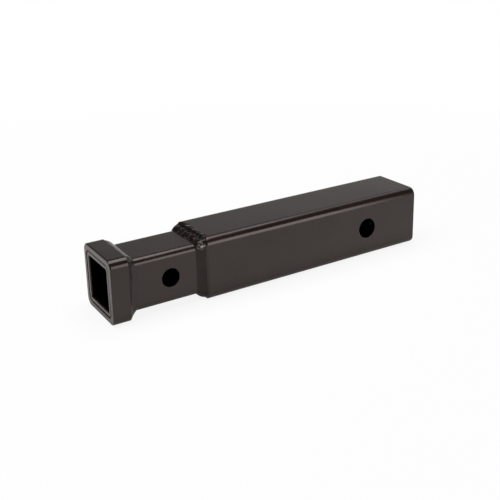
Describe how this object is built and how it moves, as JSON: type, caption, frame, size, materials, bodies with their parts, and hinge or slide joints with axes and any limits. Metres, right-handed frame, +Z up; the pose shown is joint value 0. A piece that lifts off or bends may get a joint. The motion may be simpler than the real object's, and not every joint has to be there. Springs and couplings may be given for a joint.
{
  "type": "hitch receiver adapter",
  "caption": "Square steel shank with a cross pin hole, welded to a smaller receiver tube with a collared mouth, so that a small hitch accessory fits a larger receiver.",
  "frame": {"origin": "on the ground, below the middle of the adapter's length", "axes": "+X along the tubes from the receiver's mouth to the free end of the shank, +Z up"},
  "size_m": [0.286, 0.0508, 0.0508],
  "materials": {
    "coated_tube": "satin warm black powder coat on steel",
    "coated_weld": "satin warm black powder coat over rippled weld"
  },
  "bodies": {
    "root": {"receiver_tube": "coated_tube", "mouth_collar": "coated_tube", "shank_tube": "coated_tube", "collar_weld": "coated_weld", "shank_weld": "coated_weld"}
  },
  "joints": []
}
